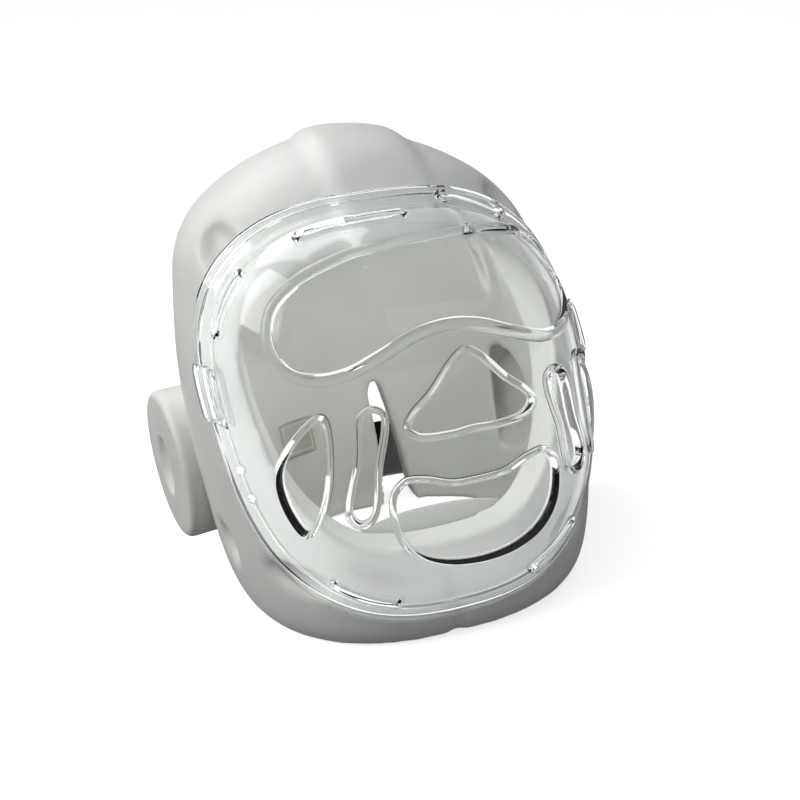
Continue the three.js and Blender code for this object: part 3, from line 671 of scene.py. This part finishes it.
# The border starts a little off the columns of the shield's grid, so that no edges coincide
OFF_COLUMNS = 0.007
turns = np.linspace(OFF_COLUMNS, 2 * np.pi + OFF_COLUMNS, BORDER_POINTS + 1)[:-1]
border = np.stack(rim_place(turns, BORDER_SHARE), -1)
outlines = [("goggle_ridge", goggle, RIDGE_SIZE)]
outlines += [("vent_lip", vent, VENT_LIP_SIZE) for vent in vents]
outlines += [("rim_border", border, BORDER_SIZE)]
beads = [bead(name, shield_point(*line.T), shield_normal(*line.T), *sizes)
         for name, line, sizes in outlines]
slot_lips = [bead("slot_lip", *slot_rim(row, SLOT_LIP_AWAY), *SLOT_LIP_SIZE)
             for row in RIM_SLOTS]


BOSS_RADIUS, BOSS_HEIGHT, BOSS_SHARE, BOSS_TURNS = 2.4, 1.8, 0.92, (97, 105)


def snap_boss(turn, share):
    """Low round boss on the flange: half an ellipsoid, carried on a little below it."""
    middle = np.array(rim_place(math.radians(turn), share))
    top, out = shield_point(*middle), shield_normal(*middle)
    along = unit(np.cross(out, [0.0, 0.0, 1.0]))
    swing = np.radians(np.linspace(0, 350, 24))[None, :, None]
    climb = np.radians(np.linspace(-30, 84, 10))[:, None, None]
    flat = np.cos(swing) * along + np.sin(swing) * np.cross(out, along)
    return ring_body("snap_boss", top + BOSS_RADIUS * np.cos(climb) * flat
                     + BOSS_HEIGHT * np.sin(climb) * out)


bosses = [snap_boss(hand * turn, BOSS_SHARE) for hand in (-1, 1) for turn in BOSS_TURNS]

# %% Polar grid of the shield
COLUMNS, BULGE_ROWS, FLANGE_ROWS = 360, 72, 12
# Shift of the grid's middle, across and up, that brings it into the nose vent
TO_NOSE_X, TO_NOSE_Z = 8.0, 16.0
angle = np.linspace(0, 2 * np.pi, COLUMNS, endpoint=False)[None]
bulge = FLANGE * (1 - (1 - np.linspace(0.015, 1, BULGE_ROWS)) ** 1.9)
share = np.concatenate([bulge, np.linspace(FLANGE, 1, FLANGE_ROWS + 1)[1:]])[:, None]
keep = 1 - ease(share, 0.0, 0.8)
x, z = rim_place(angle, share)
x, z = x + TO_NOSE_X * keep, z + TO_NOSE_Z * keep
plain, out = shield_point(x, z), shield_normal(x, z)
# Where the bulge meets the flange, the rows are averaged with their neighbours
rounding = (np.abs(np.arange(len(share)) - BULGE_ROWS) < 7)[:, None, None]
for _ in range(6):
    calmer = plain.copy()
    calmer[1:-1] = (plain[:-2] + 2 * plain[1:-1] + plain[2:]) / 4
    plain = np.where(rounding, calmer, plain)
inner_wall = (plain - SHIELD_WALL * out)[::-1]
edge = (plain[-1:] + inner_wall[:1]) / 2
# The middle of the rim's edge stands about 0.8 mm further out, which rounds it
edge += 0.8 * (edge - edge.mean(axis=1, keepdims=True)) / 100
shield = ring_body("clear_face_shield", np.concatenate([plain, edge, inner_wall]))
report(shield)

# %% Cut the vents, add the beads, cut the rim's slots
def vent_tool(vent):
    """Tube that crosses the wall square to it, from 4 mm outside to 6 mm inside, and is
    carried on along Y on both sides."""
    edge, out = shield_point(*vent.T), shield_normal(*vent.T)
    near, far = edge + 4.0 * out, edge - 6.0 * out
    return ring_body("vent_tool", np.array([near - [0, 40, 0], near, far, far + [0, 30, 0]]))


def slot_tool(row):
    """Bar bent along the rim, square to the shield; its width follows the root of one less a
    high power of the way along, which rounds both ends."""
    line, beside, out = rim_slot_line(row, 25, 0.0)
    ends = np.linspace(-0.995, 0.995, 25)
    half = (0.5 * RIM_SLOT_WIDTH * (1 - np.abs(ends) ** 10) ** 0.5)[:, None]
    corners = [line + side * half * beside + lift * out
               for side, lift in ((-1, -8), (1, -8), (1, 8), (-1, 8))]
    return ring_body("slot_tool", np.stack(corners, axis=1))


combine(shield, [vent_tool(vent) for vent in vents])
report(shield)
for tube in beads:
    combine(shield, [tube], "UNION")
combine(shield, slot_lips + bosses, "UNION")
combine(shield, [slot_tool(row) for row in RIM_SLOTS])
shield.data.set_sharp_from_angle(angle=math.radians(40))
report(shield)

# %% [markdown]
# ## Ribbed clips
# Beside each cheek a short clear clip lies on the flange. Its face is ribbed along its
# length, so it breaks the light into thin bright lines.

# %% Ribbed clip on the flange
CLIP_LENGTH, CLIP_RAISE, CLIP_WIDTH, CLIP_RIBS = 28.0, 17.0, 9.0, 5
CLIP_LIFT, CLIP_THICK, RIB_HEIGHT = 1.0, 2.2, 0.35


def ribbed_clip(name, hand):
    """Rows run along the clip. A row crosses the ribbed top, whose height is a base and a
    cosine of the place across, and comes back along the flat underside."""
    v = np.sin(np.radians(np.linspace(-86, 86, 40)))[:, None]
    u = np.linspace(0, 1, 46)[None]
    z = shield_mid + CLIP_RAISE + 0.5 * v * CLIP_LENGTH + 0 * u
    up = np.abs(z - shield_mid) / shield_tall
    reach = SHIELD_HALF * (1 - up**SHIELD_POWER) ** (1 / SHIELD_POWER)
    x = middle_at(z) + hand * reach * (1 - u * CLIP_WIDTH / SHIELD_HALF)
    body = (1 - np.abs(2 * u - 1) ** 8) ** 0.5 * (1 - np.abs(v) ** 8) ** 0.5
    ribs = RIB_HEIGHT * np.cos(2 * np.pi * CLIP_RIBS * u) * body
    point, out = shield_point(x, z), shield_normal(x, z)
    top = point + (CLIP_LIFT + CLIP_THICK * body + ribs)[..., None] * out
    under = point + (CLIP_LIFT - 0.2 * body)[..., None] * out
    return ring_body(name, np.concatenate([top, under[:, ::-1]], axis=1))


clips = [ribbed_clip("ribbed_clip_right", -1), ribbed_clip("ribbed_clip_left", 1)]
for clip in clips:
    report(clip)

# %% [markdown]
# ## Rear strap
# A wide black elastic band closes the slit at the back. It is a flat band carried round the
# foam, and each end turns down into the foam, as a band does that is sewn under the skin.
# It carries its own UV map in real lengths, so that the weave runs with the band.

# %% Elastic band round the back
def unroll(piece, along, across):
    """Writes a UV map whose units are metres, from two arrays on the piece's own grid. The
    two points that close the ends take the first and last value."""
    u = np.append(along.ravel(), [along.ravel()[0], along.ravel()[-1]])
    v = np.append(across.ravel(), [across.mean(), across.mean()])
    corner = np.zeros(len(piece.data.loops), np.int32)
    piece.data.loops.foreach_get("vertex_index", corner)
    layer = piece.data.uv_layers.new(name="weave")
    layer.data.foreach_set("uv", (np.stack([u, v], -1)[corner] * MM).ravel())


STRAP_WIDTH, STRAP_LOW, STRAP_ANGLE, STRAP_SINK = 38.0, 9.0, 46.5, 7.0
STRAP_LIFT, STRAP_THICK = 0.5, 2.4


def rear_strap():
    """Rings along the band: each goes across its outside and back along its inside. Near
    the two ends the band sinks into the foam, on a smooth step of 3.5 degrees."""
    turn = np.linspace(-STRAP_ANGLE, STRAP_ANGLE, 170)[:, None]
    v = (1 + np.sin(np.radians(np.linspace(-90, 90, 28)))) / 2
    v = np.concatenate([v, v[::-1]])[None]
    outward = np.concatenate([np.ones(28), np.zeros(28)])[None]
    body = (1 - np.abs(2 * v - 1) ** 10) ** 0.5
    sunk = STRAP_SINK * ease(np.abs(turn), STRAP_ANGLE - 3.5, STRAP_ANGLE)
    lift = STRAP_LIFT + STRAP_THICK * body * outward - sunk
    z = STRAP_LOW + STRAP_WIDTH * v + 0 * turn
    points = shell_point(np.radians(180 + turn) + 0 * v, z, side=-lift, front=-lift,
                         rear=-lift, panel=False)
    band = ring_body("woven_rear_strap", points)
    run = np.linalg.norm(np.diff(points[:, 0], axis=0), axis=-1).cumsum()
    along = np.concatenate([[0], run])[:, None] + 0 * v
    unroll(band, along, STRAP_WIDTH * v + 0 * turn)
    return band


strap = rear_strap()
report(strap)

# %% [markdown]
# ## Inner label
# A small cloth label is sewn to the inner wall behind the wearer's right ear. It is left
# bare: a thin rectangle that follows the wall, with a stitched edge in its material.

# %% Cloth label on the inner wall
LABEL_WIDTH, LABEL_HEIGHT, LABEL_LOW, LABEL_ANGLE = 30.0, 22.0, 46.0, 150.0
LABEL_LIFT, LABEL_THICK = 0.7, 0.5


def inner_label():
    """Rings from the bottom up: each crosses the visible face and comes back behind it."""
    u = np.concatenate([np.linspace(0, 1, 31), np.linspace(1, 0, 31)])[None]
    v = np.linspace(0, 1, 24)[:, None]
    front = np.concatenate([np.ones(31), np.zeros(31)])[None]
    lift = LABEL_LIFT + LABEL_THICK * front + 0 * v
    half = LABEL_WIDTH / 2 / (HALF_WIDTH - HOLLOW["side"])
    angle = -math.radians(LABEL_ANGLE) + (2 * u - 1) * half + 0 * v
    patch = ring_body("sewn_label", on_inner_wall(angle, LABEL_LOW + LABEL_HEIGHT * v, lift))
    unroll(patch, LABEL_WIDTH * u + 0 * v, LABEL_HEIGHT * v + 0 * u)
    return patch


label = inner_label()
report(label)

# %% [markdown]
# ## Finishes
# Colours are given as sRGB hex values, because those are what the eye compares, and one
# function turns them to the linear values that the shader needs. The others each add one
# node with its settings and links.

# %% Helpers for materials
def linear(code):
    """sRGB hex to linear: below 0.04045 a twelfth, above it a power of 2.4."""
    value = np.array([int(code[k:k + 2], 16) for k in (1, 3, 5)]) / 255
    value = np.where(value <= 0.04045, value / 12.92, ((value + 0.055) / 1.055) ** 2.4)
    return (*value.tolist(), 1.0)


def add_node(material, kind, settings=(), links=(), **inputs):
    """New node with its properties, its linked inputs and its fixed inputs."""
    node = material.node_tree.nodes.new("ShaderNode" + kind)
    for name, value in dict(settings).items():
        setattr(node, name, value)
    for name, value in inputs.items():
        node.inputs[name.replace("_", " ")].default_value = value
    for name, source in dict(links).items():
        material.node_tree.links.new(source, node.inputs[name])
    return node


def add_math(material, operation, *values):
    """Result of a Math node whose inputs are, in order, linked outputs or fixed numbers."""
    node = add_node(material, "Math", settings={"operation": operation})
    for socket, value in zip(node.inputs, values):
        if isinstance(value, float):
            socket.default_value = value
        else:
            material.node_tree.links.new(value, socket)
    return node.outputs["Value"]


def new_finish(name, **values):
    """Material with only its main shader, whose fixed values are set on the shader itself.
    It comes with that shader and with the function that links two of its sockets."""
    material = bpy.data.materials.new(name)
    material.use_nodes = True
    shader = material.node_tree.nodes["Principled BSDF"]
    for key, value in values.items():
        shader.inputs[key.replace("_", " ")].default_value = value
    return material, shader, material.node_tree.links.new


def color_ramp(material, value, *stops):
    """Colour for a value, from a ramp between two stops, each a place and an sRGB colour."""
    node = add_node(material, "ValToRGB", links={"Fac": value})
    for element, (position, code) in zip(node.color_ramp.elements, stops):
        element.position, element.color = position, linear(code)
    return node.outputs["Color"]


def noise(material, scale, detail):
    """Noise value, about 0.5, whose blotches measure a metre over the scale."""
    coords = add_node(material, "TexCoord").outputs["Object"]
    node = add_node(material, "TexNoise", links={"Vector": coords}, Scale=scale, Detail=detail)
    return node.outputs["Fac"]


def bump(material, height, strength, distance, links=()):
    """Normal output of a bump whose strength is a share and whose distance is in metres."""
    node = add_node(material, "Bump", links={"Height": height, **dict(links)},
                    Strength=strength, Distance=distance)
    return node.outputs["Normal"]


# %% [markdown]
# ### Vinyl-dipped foam
# The pot, the discs and the cup share one skin: soft PVC that was sprayed or dipped over
# polyethylene foam. It gives the eye a warm light grey-white with a broad satin sheen, a very
# fine orange peel, and slow unevenness where the foam below it varies.

# %% Dipped foam
dipped, shader, link = new_finish("vinyl_dipped_foam", IOR=1.5, Coat_Weight=0.12,
                                  Coat_Roughness=0.32, Subsurface_Weight=0.06,
                                  Subsurface_Scale=0.004)
mottle = noise(dipped, 22.0, 3.0)
tint = color_ramp(dipped, mottle, (0.3, "#e1e2dd"), (0.7, "#e9eae5"))
link(tint, shader.inputs["Base Color"])
sheen = add_node(dipped, "MapRange", links={"Value": mottle}, To_Min=0.38, To_Max=0.5)
link(sheen.outputs["Result"], shader.inputs["Roughness"])
# Orange peel of about 1.5 mm, drawn a little coarser than the real skin so that it shows
peel, slow = noise(dipped, 650.0, 2.0), noise(dipped, 60.0, 1.0)
wavy = bump(dipped, slow, 0.35, 0.0015)
skin = bump(dipped, peel, 0.25, 0.0002, links={"Normal": wavy})
link(skin, shader.inputs["Normal"])

# %% [markdown]
# ### Clear polycarbonate
# Injection-moulded and polished: almost no colour and sharp reflections, with a slow
# waviness of about 20 mm from the mould's flow. The eye sees real transmission through both
# walls. Only shadow rays go straight through, so that the shield darkens nothing behind it.

# %% Clear shield and clips
clear, shader, link = new_finish("clear_polycarbonate", Base_Color=linear("#fdfefe"),
                                 Transmission_Weight=1.0, IOR=1.45)
flow = noise(clear, 45.0, 1.0)
link(bump(clear, flow, 0.12, 0.0008), shader.inputs["Normal"])
smear = add_node(clear, "MapRange", links={"Value": flow}, To_Min=0.02, To_Max=0.06)
link(smear.outputs["Result"], shader.inputs["Roughness"])
# Shadow rays pass straight through, as light does through thin clear walls
let_through = add_node(clear, "BsdfTransparent", Color=(0.95, 0.96, 0.96, 1.0))
ray = add_node(clear, "LightPath")
blend = add_node(clear, "MixShader", links={"Fac": ray.outputs["Is Shadow Ray"]})
link(shader.outputs["BSDF"], blend.inputs[1])
link(let_through.outputs["BSDF"], blend.inputs[2])
link(blend.outputs["Shader"], clear.node_tree.nodes["Material Output"].inputs["Surface"])

# %% [markdown]
# ### Woven black elastic
# Polyester over rubber threads: lengthwise cords 2.6 mm apart, crossed by picks 1.6 mm apart,
# which is coarser than on most bands. It gives the eye a dull black with a faint lighter
# grid. A wave texture's bands lie 0.314 m over its scale apart, a twentieth of a full turn.

# %% Black elastic
elastic, shader, link = new_finish("woven_black_elastic", Roughness=0.9, Sheen_Weight=0.08,
                                   Sheen_Roughness=0.5)
weave = add_node(elastic, "UVMap", settings={"uv_map": "weave"}).outputs["UV"]
cords = add_node(elastic, "TexWave", settings={"bands_direction": "Y"},
                 links={"Vector": weave}, Scale=121.0, Distortion=0.4, Detail=1.0)
picks = add_node(elastic, "TexWave", settings={"bands_direction": "X"},
                 links={"Vector": weave}, Scale=196.0, Distortion=0.6, Detail=1.0)
threads = add_math(elastic, "MULTIPLY", cords.outputs["Fac"], picks.outputs["Fac"])
shade = color_ramp(elastic, threads, (0.1, "#070708"), (0.8, "#1b1c1f"))
link(shade, shader.inputs["Base Color"])
link(bump(elastic, threads, 0.8, 0.0004), shader.inputs["Normal"])

# %% [markdown]
# ### Label cloth
# Woven satin tape, slightly yellowed, with ribs 1.2 mm apart and one line of stitching 2 mm
# inside its edge.

# %% Label cloth
cloth, shader, link = new_finish("label_satin_tape", Roughness=0.7, Sheen_Weight=0.2)
weave = add_node(cloth, "UVMap", settings={"uv_map": "weave"}).outputs["UV"]
ribs = add_node(cloth, "TexWave", settings={"bands_direction": "Y"}, links={"Vector": weave},
                Scale=260.0, Distortion=0.5)
shade = color_ramp(cloth, ribs.outputs["Fac"], (0.0, "#b9b8ae"), (1.0, "#c9c7bd"))
# Distance from the middle as a share of the way to the stitching, which runs where the larger
# of the two shares is one
STITCH_INSET, STITCH_HALF = 2.0, 0.03
place_on = add_node(cloth, "SeparateXYZ", links={"Vector": weave})
shares = []
for side, size in (("X", LABEL_WIDTH), ("Y", LABEL_HEIGHT)):
    off = add_math(cloth, "SUBTRACT", place_on.outputs[side], size / 2 * MM)
    away = add_math(cloth, "ABSOLUTE", off)
    shares.append(add_math(cloth, "DIVIDE", away, (size / 2 - STITCH_INSET) * MM))
on_line = add_math(cloth, "COMPARE", add_math(cloth, "MAXIMUM", *shares), 1.0, STITCH_HALF)
sewn = add_node(cloth, "Mix", settings={"data_type": "RGBA"})
link(on_line, sewn.inputs["Factor"])
link(shade, sewn.inputs[6])
sewn.inputs[7].default_value = linear("#e9e8e0")
link(sewn.outputs[2], shader.inputs["Base Color"])
link(bump(cloth, ribs.outputs["Fac"], 0.4, 0.0002), shader.inputs["Normal"])

# %% Dress the pieces and tie them to the frame
DRESS = [
    (foam, dipped, "dipped_foam", "foam_shell"),
    (discs[0], dipped, "dipped_foam", "ear_disc_right"),
    (discs[1], dipped, "dipped_foam", "ear_disc_left"),
    (cup, dipped, "dipped_foam", "chin_cup"),
    (shield, clear, "clear_shield", "face_shield"),
    (clips[0], clear, "clear_shield", "shield_clip_right"),
    (clips[1], clear, "clear_shield", "shield_clip_left"),
    (strap, elastic, "black_elastic", "rear_strap"),
    (label, cloth, "label_cloth", "inner_label"),
]
for piece, material, slot, node in DRESS:
    piece.data.materials.clear()
    piece.data.materials.append(material)
    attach(piece, "root")
    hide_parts(node)
    low, high = (np.array(corner) * 1000 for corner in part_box(node))
    corners = np.array([list(v.co) for v in piece.data.vertices]) * 1000
    print(node, "low and high corners stand off by", np.round(corners.min(0) - low, 1),
          np.round(corners.max(0) - high, 1))

# %% [markdown]
# ## Floor and light
# A pale floor and a surround that is brighter above stand for the white studio. A soft box
# behind draws the white band along the top of the shield, one at the left lights the foam
# from that side, and a small lamp lifts the hollow. Diffuse and glossy rays don't see the
# floor, so it sends no light up to the pieces: the photograph's underside is dark.

# %% Floor that curves up behind
def studio_sweep():
    """A line in depth and height carried across: level to 1.2 m behind the guard, then a
    quarter circle of 0.8 m, then straight up."""
    turn = np.radians(np.linspace(0, 90, 24))
    depth = np.concatenate([[-3.0, 0.6], 1.2 + 0.8 * np.sin(turn), [2.0]])
    height = np.concatenate([[0.0, 0.0], 0.8 - 0.8 * np.cos(turn), [3.0]])
    points = [(side, y, z) for y, z in zip(depth.tolist(), height.tolist())
              for side in (-4.0, 4.0)]
    faces = [(2 * k, 2 * k + 1, 2 * k + 3, 2 * k + 2) for k in range(len(depth) - 1)]
    mesh = bpy.data.meshes.new("studio_sweep")
    mesh.from_pydata(points, [], faces)
    mesh.polygons.foreach_set("use_smooth", np.ones(len(faces), bool))
    sweep = bpy.data.objects.new("studio_sweep", mesh)
    bpy.context.scene.collection.objects.link(sweep)
    return sweep


sweep = studio_sweep()
# The paper is lit from below as well, as a light table is, so it stays white near the guard
paper, shader, link = new_finish("studio_paper", Roughness=0.9,
                                 Emission_Color=linear("#ffffff"), Emission_Strength=0.63)
shade = color_ramp(paper, noise(paper, 8.0, 2.0), (0.3, "#f0f0ef"), (0.7, "#f4f4f3"))
link(shade, shader.inputs["Base Color"])
sweep.data.materials.append(paper)
sweep.visible_diffuse = sweep.visible_glossy = False

# %% Surround and soft boxes
world = bpy.data.worlds.new("studio")
world.use_nodes = True
background = world.node_tree.nodes["Background"]
background.inputs["Color"].default_value = linear("#f2f5f7")
# Bright above and dim below the level of the table: from 0.12 under it to 0.54 overhead
sky = add_node(world, "TexCoord").outputs["Generated"]
upward = add_node(world, "SeparateXYZ", links={"Vector": sky}).outputs["Z"]
fade = add_node(world, "MapRange", settings={"interpolation_type": "SMOOTHSTEP"},
                links={"Value": upward}, From_Min=-0.3, From_Max=0.7, To_Min=0.12, To_Max=0.54)
world.node_tree.links.new(fade.outputs["Result"], background.inputs["Strength"])
bpy.context.scene.world = world
bpy.context.scene.view_settings.view_transform = "Standard"


def soft_box(name, place, aim, size, power, seen=True):
    """Square area light at a place, turned so that it looks at its aim, in metres."""
    data = bpy.data.lights.new(name, "AREA")
    data.size, data.energy = size, power
    lamp = bpy.data.objects.new(name, data)
    lamp.location = place
    lamp.rotation_euler = (Vector(aim) - Vector(place)).to_track_quat("-Z", "Y").to_euler()
    lamp.visible_camera = lamp.visible_glossy = lamp.visible_transmission = seen
    bpy.context.scene.collection.objects.link(lamp)


soft_box("soft_box_behind", (-0.3, 0.55, 1.05), (0, 0, 0.12), 0.75, 4.0)
soft_box("soft_box_left", (-1.25, 0.05, 0.8), (0, 0, 0.12), 1.0, 10.0)
soft_box("fill_in_hollow", (0.0, -0.03, 0.19), (0.0, 0.02, 0.0), 0.06, 0.085, seen=False)
